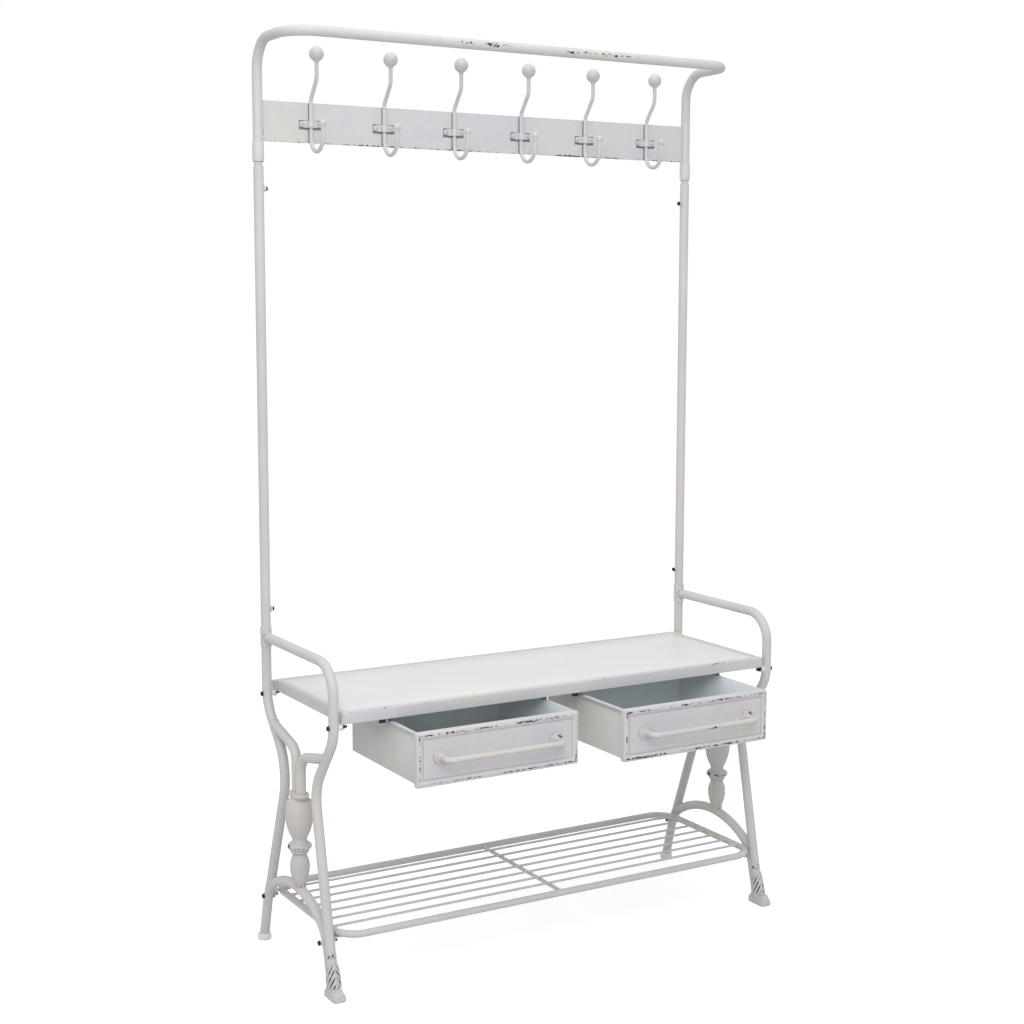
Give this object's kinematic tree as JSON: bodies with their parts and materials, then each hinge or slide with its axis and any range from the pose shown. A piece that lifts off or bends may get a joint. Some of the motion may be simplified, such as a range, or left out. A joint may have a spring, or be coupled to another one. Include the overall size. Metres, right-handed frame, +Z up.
{
  "type": "hall tree bench with coat hooks",
  "caption": "Free-standing tube-frame hall tree: coat hooks on a board, bench seat with sliding drawers between bent side frames, and a low wire shelf.",
  "frame": {"origin": "on the floor, under the middle of the overall box with the drawers as they stand at rest", "axes": "+X to the right of someone facing the rack, +Y to the back, +Z up; the drawers open towards -Y"},
  "size_m": [1.088, 0.5666, 1.843],
  "materials": {
    "paint": "matt off-white paint, rubbed through to dark brown at edges and welds",
    "painted_casting": "matt off-white paint over a casting, brown in the grooves",
    "panel": "smooth off-white paint on board",
    "bare_steel": "dark zinc or bronze coating",
    "stop": "black, matt",
    "cap": "off-white, matt"
  },
  "bodies": {
    "frame": {"top_frame": "paint", "top_sleeves": "paint", "upper_spigots": "bare_steel", "hook_board": "paint", "hook_1": "paint", "hook_2": "paint", "hook_3": "paint", "hook_4": "paint", "hook_5": "paint", "hook_6": "paint", "hook_clips": "paint", "hook_screws": "paint", "upright_left": "paint", "upright_right": "paint", "lower_spigots": "bare_steel", "weld_nuts": "paint", "lock_bolts": "bare_steel", "collar_left": "paint", "collar_right": "paint", "rear_leg_left": "paint", "rear_leg_right": "paint", "front_leg_left": "paint", "front_leg_right": "paint", "rear_branch_left": "paint", "rear_branch_right": "paint", "front_branch_left": "paint", "front_branch_right": "paint", "baluster_left": "painted_casting", "baluster_right": "painted_casting", "arch_left": "paint", "arch_right": "paint", "rear_foot_left": "cap", "rear_foot_right": "cap", "front_foot_left": "painted_casting", "front_foot_right": "painted_casting", "seat_tray": "paint", "seat_panel": "panel", "seat_brackets": "paint", "seat_spacers": "paint", "seat_bolts": "bare_steel", "seat_nuts": "bare_steel", "runners_left": "paint", "runners_right": "paint", "runner_stops": "stop", "shelf_loop": "paint", "shelf_rods": "paint", "shelf_cross_bar": "paint", "shelf_tabs": "paint", "shelf_bolts": "bare_steel", "shelf_nuts": "bare_steel"},
    "drawer_left": {"drawer_left_box": "paint", "drawer_left_front": "paint", "drawer_left_pull": "paint", "drawer_left_rosettes": "paint", "drawer_left_screws": "bare_steel"},
    "drawer_right": {"drawer_right_box": "paint", "drawer_right_front": "paint", "drawer_right_pull": "paint", "drawer_right_rosettes": "paint", "drawer_right_screws": "bare_steel"}
  },
  "joints": [
    {"name": "drawer_left_slide", "type": "slide", "parent": "frame", "child": "drawer_left", "axis": [0, -1, 0], "range_m": [-0.103, 0.097]},
    {"name": "drawer_right_slide", "type": "slide", "parent": "frame", "child": "drawer_right", "axis": [0, -1, 0], "range_m": [-0.146, 0.054]}
  ]
}
